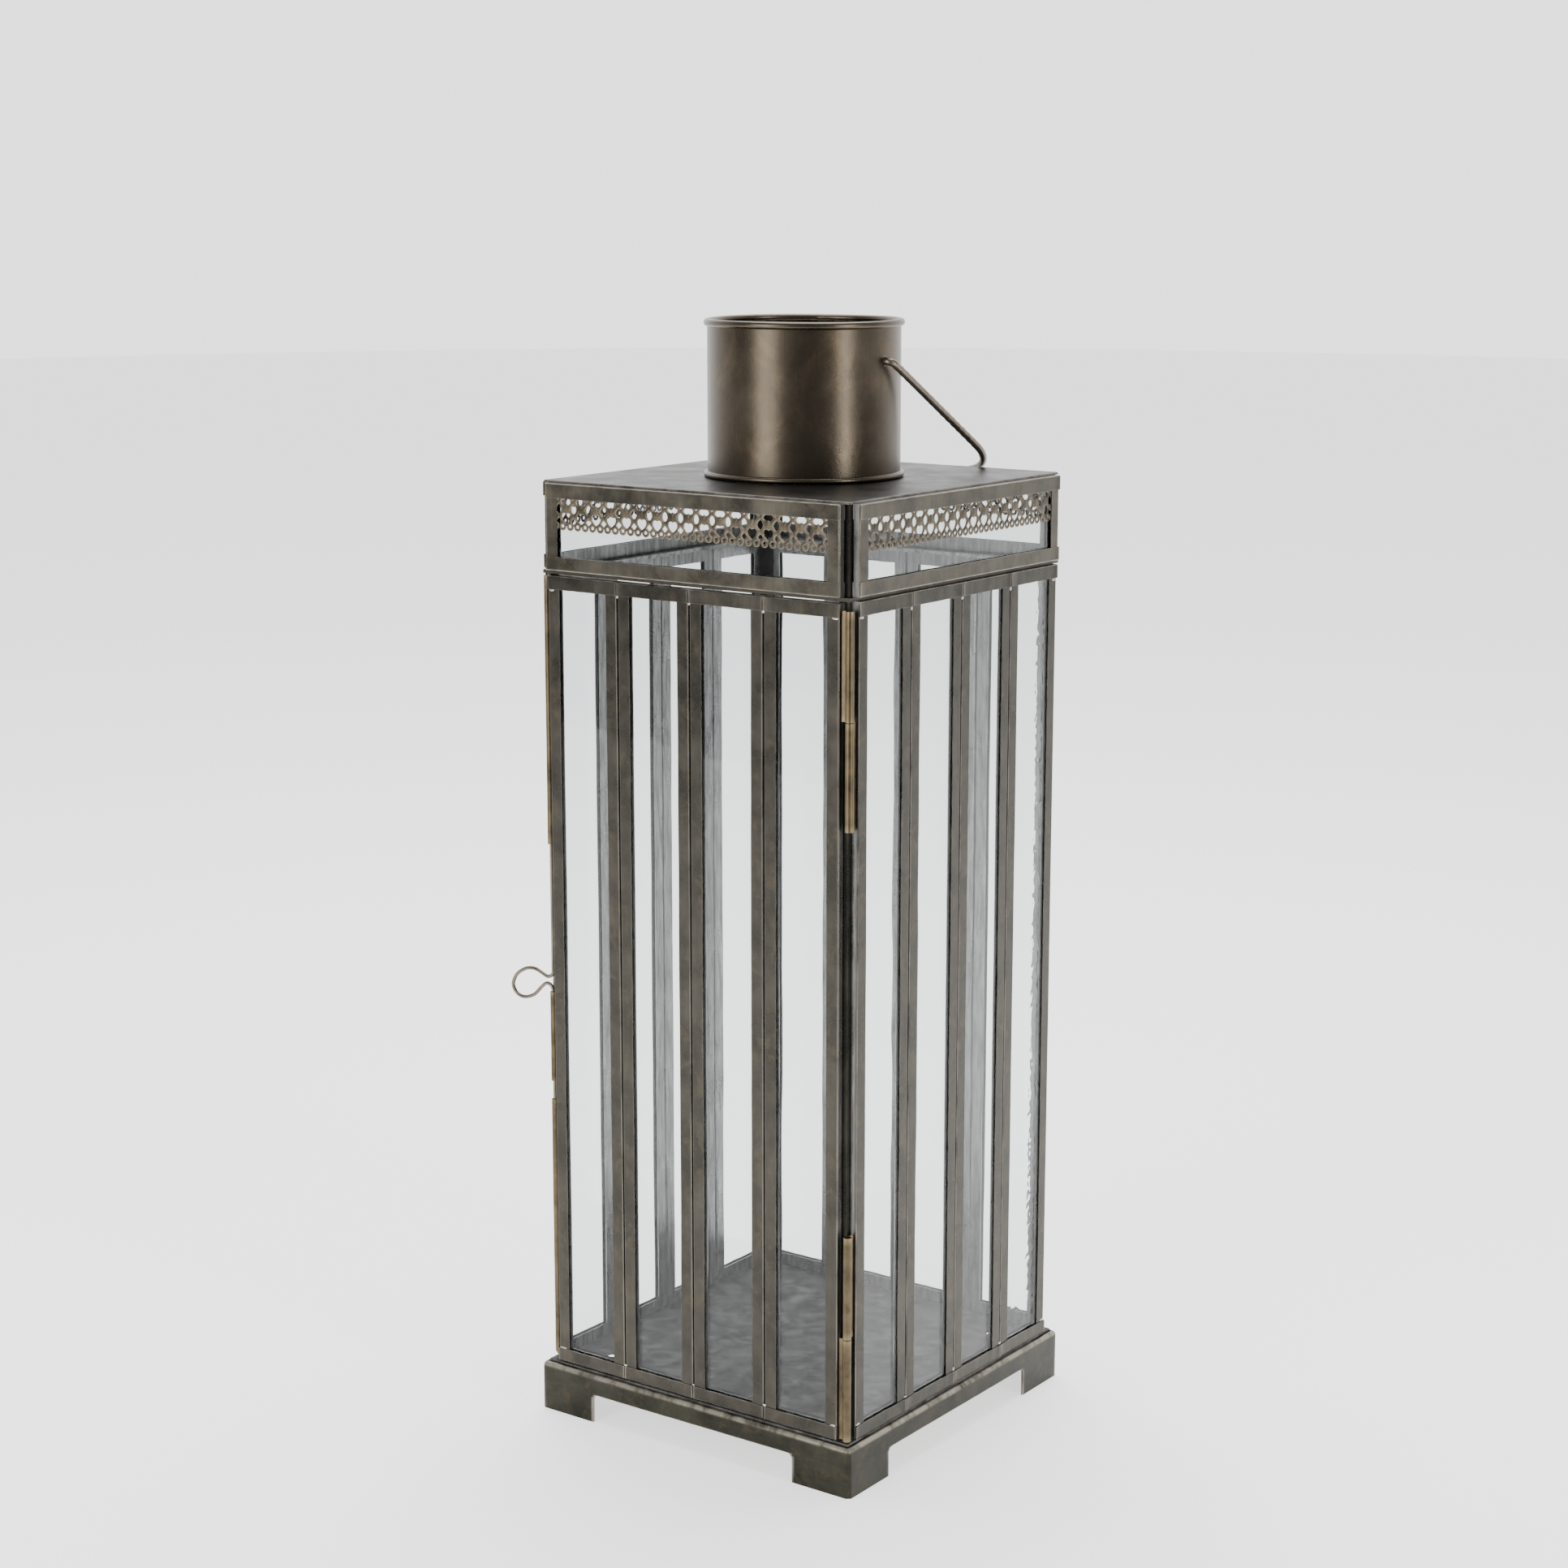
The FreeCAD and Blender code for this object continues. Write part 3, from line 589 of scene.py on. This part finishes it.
def build_filigree():
    """The stamped strip behind each band frame, pierced by filigree_field and raised by relief."""
    low, high = node_box("filigree_strip_front")
    frieze_top = node_box("frieze_frame_front")[1][2]
    top = frieze_top - 7.0
    width = high[0] - low[0]
    step = 0.25
    u = np.arange(low[0], high[0] + step / 2, width / round(width / step))
    v = np.arange(-17.8, 3.0, step)
    y_front = low[1] - 0.25

    def keep(x, z):
        rim = np.minimum(x - low[0], high[0] - x) + 0.5
        return np.minimum(filigree_field(x, np.minimum(z, 0.6)), rim)

    def front(x, z):
        return np.stack([x, y_front + 0.30 - relief(x, z), z + top], -1)

    def rear(x, z):
        return np.stack([x, np.full_like(x, y_front + 0.50), z + top], -1)

    points, faces, wear_and_highlight = pierced_sheet(u, v, keep, front, rear)
    for name, degrees in BAND_SIDES:
        add_piece("pierced_strip_" + name, turned(points, degrees), faces, "root",
                  PIERCED, wear_and_highlight * 0.6, ["filigree_strip_" + name], sharp=50)


# ------------------------------------------------------------------ plinth
def rounded_square(t, half, corner):
    """Point and outward normal of a rounded square at t in 0..8, one straight per even unit."""
    t = t % 8
    leg = np.floor(t / 2).astype(int) % 4
    w = t - 2 * np.floor(t / 2)
    run = half - corner
    straight = w < 1
    arc = np.clip(w - 1, 0, 1) * np.pi / 2
    x = np.where(straight, (2 * w - 1) * run, run + corner * np.sin(arc))
    y = np.where(straight, -half, -run - corner * np.cos(arc))
    nx = np.where(straight, 0.0, np.sin(arc))
    ny = np.where(straight, -1.0, -np.cos(arc))
    a = leg * np.pi / 2
    c, s = np.cos(a), np.sin(a)
    return c * x - s * y, s * x + c * y, c * nx - s * ny, s * nx + c * ny


def build_plinth():
    """A skirt that rises from the feet, rolls over the edge and runs in to the opening; the
    arches are cut from it, and the walls wave a little."""
    high = node_box("base_plinth")[1]
    half, height = high[0], high[2]
    edge, sheet, ledge = 2.6, 1.2, 23.5
    foot, arch = 36.7, 15.8
    rise = height - edge
    roll = edge * np.pi / 2
    spans = np.concatenate([np.linspace(0, 1, 150, endpoint=False) + 2 * k if part == 0 else
                            np.linspace(1, 2, 10, endpoint=False) + 2 * k
                            for k in range(4) for part in (0, 1)])
    u = spans * (2 * np.pi / 8)
    v = np.concatenate([np.linspace(0, rise, 34), rise + np.linspace(0, roll, 8)[1:],
                        rise + roll + np.linspace(0, ledge - edge, 10)[1:]])

    def shape(u, v, inset):
        x, y, nx, ny = rounded_square(u * 8 / (2 * np.pi), half, edge)
        turn = np.clip((v - rise) / edge, 0, np.pi / 2)
        run_in = np.clip(v - rise - roll, 0, None)
        radius = edge - inset
        back = edge - radius * np.cos(turn)
        up = np.where(v < rise, v, rise + radius * np.sin(turn))
        wave = 0.35 * np.sin(u * 3 + 1.0) * np.sin(u * 7) * np.clip(1 - v / height, 0, 1)
        back = back + run_in - wave + 0.35
        return np.stack([x - nx * back, y - ny * back, up - 0.10 * np.abs(wave)], -1)

    def keep(u, v):
        """Distance outside an arch with rounded top corners, the same on all four sides."""
        x, y, nx, ny = rounded_square(u * 8 / (2 * np.pi), half, edge)
        along = np.where(np.abs(ny) > np.abs(nx), np.abs(x), np.abs(y))
        corner_round = 3.0
        dx = along - (half - foot - corner_round)
        dz = v - (arch - corner_round)
        outside = np.hypot(np.maximum(dx, 0), np.maximum(dz, 0))
        return outside + np.minimum(np.maximum(dx, dz), 0) - corner_round

    points, faces, wear_and_highlight = pierced_sheet(u, v, keep, lambda u, v: shape(u, v, 0.0),
                                        lambda u, v: shape(u, v, sheet), wrap=True)
    z = points[:, 2]
    # Painted highlight: a bright band along the rolled top edge of the plinth, laid over the wear on the
    # arch edges.
    top_fold_highlight = np.exp(-((z - (height - 0.9)) / 0.9) ** 2)
    worn_and_highlit = np.clip(np.maximum(wear_and_highlight * 0.7, top_fold_highlight * 1.4), 0, 1)
    add_piece("plinth_shell", points, faces, "root", BASE, worn_and_highlit, ["base_plinth"])


# ------------------------------------------------------------------ roof
def build_roof():
    """A flat sheet between the collar's hole and a rounded square, its edge rolled down."""
    low, high = node_box("roof_plate")
    half, z_top, z_low = high[0], high[2], low[2]
    hole = node_box("collar")[1][0] + 0.05
    edge = 1.1
    u = np.linspace(0, 2 * np.pi, 640, endpoint=False)
    v = np.concatenate([np.linspace(0, 1, 44), 1 + np.linspace(0, 1, 6)[1:]])

    def shape(u, v, inside):
        x, y, nx, ny = rounded_square(u * 8 / (2 * np.pi), half, 2.0)
        rim_x, rim_y = x - nx * edge, y - ny * edge
        a = np.arctan2(rim_y, rim_x)
        t = np.clip(v, 0, 1) ** 0.9
        px = hole * np.cos(a) * (1 - t) + rim_x * t
        py = hole * np.sin(a) * (1 - t) + rim_y * t
        turn = np.clip(v - 1, 0, 1) * np.pi / 2
        px, py = px + nx * edge * np.sin(turn), py + ny * edge * np.sin(turn)
        up = z_top - edge * (1 - np.cos(turn))
        sag = 0.35 * np.sin(np.pi * t) * np.sin(px / 41.0 + 0.6) * np.sin(py / 37.0 + 0.3)
        z = np.where(inside, z_low + 0 * up, up + sag * (v < 1))
        return np.stack([px, py, z], -1)

    points, faces, _ = pierced_sheet(u, v, lambda u, v: 1.0 + 0 * u,
                                     lambda u, v: shape(u, v, False),
                                     lambda u, v: shape(u, v, True), wrap=True)
    # The rolled rim gets the brighter colour: partly wear and partly painted highlight along the edge.
    far = np.maximum(np.abs(points[:, 0]), np.abs(points[:, 1]))
    worn_and_highlit = np.clip((far - half + 2.0) / 2.0, 0, 1)
    add_piece("roof_sheet", points, faces, "root", ROOF, worn_and_highlit, ["roof_plate"])


# ------------------------------------------------------------------ collar
def collar_wobble(a):
    """Hand-rolled tube: a little out of round, with a lap seam on the far side."""
    seam = np.deg2rad(118.0)
    d = (a - seam + np.pi) % (2 * np.pi) - np.pi
    return 0.22 * np.sin(2 * a + 0.5) + 0.10 * np.sin(3 * a + 2.0) + 0.5 * np.exp(-(d / 0.05) ** 2)


def build_collar():
    """The tube with its two bail holes, its rolled rim and the bead at its foot."""
    low, high = node_box("collar")
    radius, wall = high[0], 0.8
    z0, z1 = low[2], high[2]
    hole = 2.3
    u = np.linspace(0, 2 * np.pi, 420, endpoint=False)
    v = np.linspace(z0, z1, 110)

    def keep(u, z):
        near = np.minimum(np.abs((u + np.pi) % (2 * np.pi) - np.pi), np.abs((u % (2 * np.pi)) - np.pi))
        return np.hypot(near * radius, z - BAIL_PIVOT_Z) - hole

    def tube(inset):
        def shape(u, z):
            r = radius - 0.75 + collar_wobble(u) - inset
            return np.stack([r * np.cos(u), r * np.sin(u), z], -1)
        return shape

    points, faces, wear_and_highlight = pierced_sheet(u, v, keep, tube(0.0), tube(wall), wrap=True)
    add_piece("collar_tube", points, faces, "root", COLLAR, wear_and_highlight * 0.5, ["collar"])
    rim_z = (node_box("collar_rim")[0][2] + node_box("collar_rim")[1][2]) / 2
    for name, node, r_mid, r_wire, z_mid in (("collar_rolled_rim", "collar_rim", radius - 0.9, 2.0, rim_z),
                                             ("collar_foot_bead", "collar_base_ring", radius - 0.5, 1.75,
                                              node_box("collar_base_ring")[0][2] + 1.7)):
        a = np.linspace(0, 2 * np.pi, 240, endpoint=False)
        r = r_mid + collar_wobble(a)
        path = np.stack([r * np.cos(a), r * np.sin(a), z_mid + 0.12 * np.sin(3 * a)], -1)
        p, f, w = wire(path, r_wire, closed=True, sides=20)
        w = w + 0.1
        add_piece(name, p, f, "root", COLLAR, w, [node])


# ------------------------------------------------------------------ bail and latch
def build_bail():
    """Round wire along the flat U of the CAD bail: straight arms, wide round corners."""
    arm = node_box("bail_handle")[1][0] - 2.0
    length, corner, eye = BAIL_LENGTH, BAIL_CORNER, 3.4
    tilt = math.radians(BAIL_DIP)
    q = np.linspace(0, np.pi / 2, 14)
    half = [(BAIL_TAIL, 0.0), (arm - eye - 1.0, 0.0)]
    half += [(arm - eye + eye * math.sin(t), eye - eye * math.cos(t)) for t in q]
    half += [(arm + 0.25 * math.sin(s * 3.1), s) for s in np.linspace(eye + 2, length - corner - 2, 30)]
    half += [(arm - corner + corner * math.cos(t), length - corner + corner * math.sin(t)) for t in q]
    left = [(-x, y) for x, y in half[::-1]]
    flat = np.array(half + left)
    path = np.stack([flat[:, 0], flat[:, 1] * math.cos(tilt),
                     BAIL_PIVOT_Z - flat[:, 1] * math.sin(tilt)], -1)
    p, f, w = wire(path, 2.0, sides=18)
    add_piece("bail_wire", p, f, "bail", WIRE, w + 0.1, ["bail_handle"])


def build_latch():
    """The latch wire as one smooth bend: straight leg, omega neck and round finger loop."""
    low, high = node_box("latch_wire")
    y = (low[1] + high[1]) / 2
    x = high[0] - 1.0
    far = low[0] + 1.0
    mid = LATCH_LOOP_Z
    loop = [(x, mid + 8.0), (x - 0.1, mid + 4.8), (x - 1.4, mid + 3.0), (x - 4.0, mid + 2.1),
            (x - 7.2, mid + 3.2), (x - 12.5, mid + 5.0), (x - 19.0, mid + 4.3), (x - 25.6, mid + 0.2),
            (far, mid - 5.6), (x - 26.4, mid - 10.2), (x - 21.0, mid - 11.9), (x - 14.0, mid - 9.6),
            (x - 8.6, mid - 4.6), (x - 5.2, mid - 1.9), (x - 2.6, mid - 2.0), (x - 0.7, mid - 3.6),
            (x, mid - 6.5)]
    bend = smooth_path([(a, y, b) for a, b in loop], 110)
    top = np.stack([np.full(12, x), np.full(12, y), np.linspace(high[2] - 0.5, mid + 9.5, 12)], -1)
    foot = np.stack([np.full(8, x), np.full(8, y), np.linspace(mid - 8.5, low[2] + 0.5, 8)], -1)
    p, f, w = wire(np.concatenate([top, bend, foot]), 1.0, sides=14)
    add_piece("latch_bolt_wire", p, f, "latch", WIRE, w + 0.2, ["latch_wire"])


def rolled_tube(x, y, z0, z1, radius, sheet, open_at, leaf, rng, stations=14):
    """A strip rolled round a pin, open along one line; leaf is where its tail runs to, or None.
    Section: an arc of nearly a full turn, and for a leaf a straight tail from its start."""
    a = np.linspace(0.16, 2 * np.pi - 0.16, 34) + open_at
    outer = np.stack([radius * np.cos(a), radius * np.sin(a)], -1)
    inner = outer * (radius - sheet) / radius
    if leaf is not None:
        tail = np.array(leaf) - [x, y]
        way = tail / np.linalg.norm(tail)
        left = np.array([-way[1], way[0]])
        start = np.linspace(0, 1, 5)[:-1, None]
        outer = np.concatenate([tail + left * sheet / 2 + (outer[0] - tail - left * sheet / 2) * start,
                                outer])
        inner = np.concatenate([tail - left * sheet / 2 + (inner[0] - tail + left * sheet / 2) * start,
                                inner])
    s = np.linspace(z0, z1, stations)
    ring = np.concatenate([outer, inner[::-1]])
    dx, dy = drift(s, rng, 0.05), drift(s, rng, 0.05)
    points = np.stack([x + ring[None, :, 0] + dx[:, None], y + ring[None, :, 1] + dy[:, None],
                       np.broadcast_to(s[:, None], (stations, len(ring)))], -1)
    faces = ring_faces(stations, len(ring))
    size, half = len(ring), len(outer)
    for st in (0, stations - 1):
        faces += [[st * size + k, st * size + k + 1, st * size + size - 2 - k, st * size + size - 1 - k]
                  for k in range(half - 1)]
    ends = np.minimum(s - z0, z1 - s)
    wear_and_highlight = np.clip(0.1 + 0.6 * np.exp(-(ends / 1.5) ** 2), 0, 1)[:, None] * np.ones((1, size))
    return points, faces, wear_and_highlight


def build_hardware():
    """Hinge knuckles with their leaves, the door's two latch tubes and the keeper tube."""
    rng = np.random.default_rng(SEED + 2)
    pin_low, pin_high = node_box("hinge_pins")
    hx, hy = (pin_low[0] + pin_high[0]) / 2, (pin_low[1] + pin_high[1]) / 2
    door_low, door_high = node_box("hinge_knuckles_door")
    fix_low, fix_high = node_box("hinge_knuckles_frame")
    length = 55.0
    door_edge = (door_low[0], hy)
    side_edge = (hx, fix_high[1])
    sets = (("door_hinge_knuckles", "hinge_knuckles_door", "door", door_edge, math.pi * 0.9,
             ((door_high[2] - length, door_high[2]), (door_low[2], door_low[2] + length))),
            ("frame_hinge_knuckles", "hinge_knuckles_frame", "root", side_edge, math.pi * 0.6,
             ((fix_high[2] - length + 0.4, fix_high[2]), (fix_low[2], fix_low[2] + length - 0.4))))
    for name, node, body, leaf, open_at, spans in sets:
        parts = [rolled_tube(hx, hy, a, b, 2.25, 0.55, open_at, leaf, rng) for a, b in spans]
        points, faces, wear_and_highlight = merge(oriented(parts))
        add_piece(name, points, faces, body, BRASS, wear_and_highlight, [node])
    low, high = node_box("latch_guide_upper")
    lx, ly = (low[0] + high[0]) / 2, (low[1] + high[1]) / 2
    for name, node, body, leaf in (("latch_tube_upper", "latch_guide_upper", "door", None),
                                   ("latch_tube_lower", "latch_guide_lower", "door", None),
                                   ("latch_keeper_tube", "latch_keeper", "root",
                                    (lx - 1.6, node_box("latch_keeper")[1][1]))):
        low, high = node_box(node)
        open_at = math.pi * 0.25 if leaf is None else math.pi * 0.62
        part = rolled_tube(lx, ly, low[2], high[2], 1.9, 0.45, open_at, leaf, rng, 24)
        points, faces, wear_and_highlight = merge(oriented([part]))
        add_piece(name, points, faces, body, BRASS, wear_and_highlight, [node])


# ------------------------------------------------------------------ solder
def bead(centre, size, rng, across=12, round_=16):
    """A flattened drop: a closed ellipsoid of the given half sizes with a lumpy radius."""
    a = np.linspace(0, 2 * np.pi, round_, endpoint=False)
    b = np.linspace(0.12, np.pi - 0.12, across)
    lump = 1 + 0.16 * np.sin(a[None, :] * 3 + rng.uniform(0, 6)) * np.sin(b[:, None] * 2 + rng.uniform(0, 6))
    x = np.sin(b)[:, None] * np.cos(a)[None, :] * lump
    y = np.sin(b)[:, None] * np.sin(a)[None, :] * lump
    z = np.cos(b)[:, None] * np.ones_like(a)[None, :]
    points = np.stack([x * size[0], y * size[1], z * size[2]], -1) + np.asarray(centre)
    faces = ring_faces(across, round_)
    faces.append(list(range(round_))[::-1])
    faces.append(list(range((across - 1) * round_, across * round_)))
    return points, faces, np.full((across, round_), 0.6)


def build_solder():
    """Drops where the strips were soldered: at both ends of every seam between panes, and where
    the head and foot strips lap the outermost uprights."""
    rng = np.random.default_rng(SEED + 3)
    for side, degrees in SIDES:
        body = "door" if side == "door" else "root"
        parts = []
        for i in range(1, PANES):
            low, high = node_box("door_pane_frame_%d" % i)
            x = high[0] + 0.15
            for z in (high[2] - 1.2, high[2] - 7.6, low[2] + 1.2, low[2] + 7.8):
                size = (rng.uniform(0.7, 1.2), 0.28, rng.uniform(0.6, 1.4))
                parts.append(bead((x + rng.uniform(-0.2, 0.2), low[1] + 0.42, z), size, rng))
        low, high = node_box("door_pane_frame_1")
        right = node_box("door_pane_frame_4")[1][0]
        for x in (low[0] + 2.6, right - 2.6):
            for z in (high[2] - 7.5, low[2] + 7.5):
                size = (rng.uniform(1.4, 2.4), 0.22, rng.uniform(0.6, 1.0))
                parts.append(bead((x, low[1] + 0.40, z), size, rng))
        points, faces, wear_and_highlight = merge(oriented(parts))
        add_piece("solder_on_" + side, turned(points, degrees), faces, body, SOLDER, wear_and_highlight)


def finish_cad_nodes():
    """Materials for the CAD nodes that stay in view."""
    panes = ["%s_pane_glass_%d" % (side, i) for side, _ in SIDES for i in range(1, PANES + 1)]
    friezes = ["frieze_glass_" + name for name, _ in BAND_SIDES]
    finishes = {name: GLASS for name in panes + friezes}
    finishes["right_pane_glass_4"] = RIPPLED
    finishes.update({"floor_plate": ZINC, "corner_posts": BRONZE, "shoulder_ring": LEDGE,
                     "hinge_pins": BRASS})
    for name, finish in finishes.items():
        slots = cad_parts[name].material_slots
        for s in slots:
            s.material = finish


# ------------------------------------------------------------------ studio
def build_studio():
    """A round pale floor in a room that is light behind the lantern and dimmer in front of it,
    with tall soft lights either side."""
    world = bpy.data.worlds.new("studio")
    bpy.context.scene.world = world
    world.use_nodes = True
    nt = world.node_tree
    back = nt.nodes["Background"]
    way = nt.nodes.new("ShaderNodeTexCoord").outputs["Generated"]
    dot = nt.nodes.new("ShaderNodeVectorMath")
    dot.operation = "DOT_PRODUCT"
    dot.inputs[1].default_value = (-0.588, 0.809, -0.25)
    nt.links.new(way, dot.inputs[0])
    ramp = nt.nodes.new("ShaderNodeMapRange")
    ramp.interpolation_type = "SMOOTHSTEP"
    for key, value in (("From Min", -0.35), ("From Max", 0.80), ("To Min", 0.42), ("To Max", 2.3)):
        ramp.inputs[key].default_value = value
    nt.links.new(dot.outputs["Value"], ramp.inputs["Value"])
    nt.links.new(ramp.outputs["Result"], back.inputs["Strength"])
    back.inputs["Color"].default_value = (1.0, 1.0, 1.0, 1.0)
    mesh = bpy.data.meshes.new("studio_floor")
    a = np.linspace(0, 2 * np.pi, 96, endpoint=False)
    radius, across, along = 6.0, -2.94, 4.05        # most of the floor lies behind the lantern
    rim = np.stack([across + radius * np.cos(a), along + radius * np.sin(a), np.zeros(96)], -1)
    mesh.from_pydata(rim.tolist(), [], [tuple(range(96))])
    floor = bpy.data.objects.new("studio_floor", mesh)
    bpy.context.scene.collection.objects.link(floor)
    pale = Finish("pale_floor")
    pale.set(Base_Color=(0.88, 0.88, 0.88), Roughness=0.8, Emission_Color=(1.0, 1.0, 1.0),
             Emission_Strength=1.15)
    mesh.materials.append(pale.mat)
    lights = (("soft_left", (-0.35, -2.1, 0.55), (0.85, 2.2), 40.0),
              ("soft_right", (2.2, -0.25, 0.55), (0.40, 2.2), 30.0),
              ("top_soft", (-0.3, 0.5, 2.3), (1.6, 1.6), 60.0))
    for name, place, size, power in lights:
        lamp = bpy.data.lights.new(name, "AREA")
        lamp.shape = "RECTANGLE"
        lamp.size, lamp.size_y = size
        lamp.energy = power
        holder = bpy.data.objects.new(name, lamp)
        bpy.context.scene.collection.objects.link(holder)
        aim = -np.array(place) + np.array([0, 0, 0.35])
        holder.location = place + MIDDLE * MM
        holder.rotation_euler = Vector(aim).to_track_quat("-Z", "Y").to_euler()


def build_camera():
    """Long lens at a little over one and a half metres, low and to the right of the door."""
    azimuth, elevation = math.radians(36.035), math.radians(11.22)
    distance, aim_right, aim_up = 1.6293, -0.01064, 0.3468
    right = np.array([math.cos(azimuth), math.sin(azimuth), 0.0])
    back = np.array([math.sin(azimuth) * math.cos(elevation),
                     -math.cos(azimuth) * math.cos(elevation), math.sin(elevation)])
    data = bpy.data.cameras.new("camera")
    data.sensor_width = 36.0
    data.lens = 69.44
    camera = bpy.data.objects.new("camera", data)
    bpy.context.scene.collection.objects.link(camera)
    camera.location = right * aim_right + np.array([0, 0, aim_up]) + back * distance + MIDDLE * MM
    camera.rotation_euler = Vector(back).to_track_quat("Z", "Y").to_euler()
    bpy.context.scene.camera = camera


build_camera()
build_studio()
build_pane_frames()
build_frieze_frames()
build_filigree()
build_plinth()
build_roof()
build_collar()
build_bail()
build_latch()
build_hardware()
build_solder()
finish_cad_nodes()
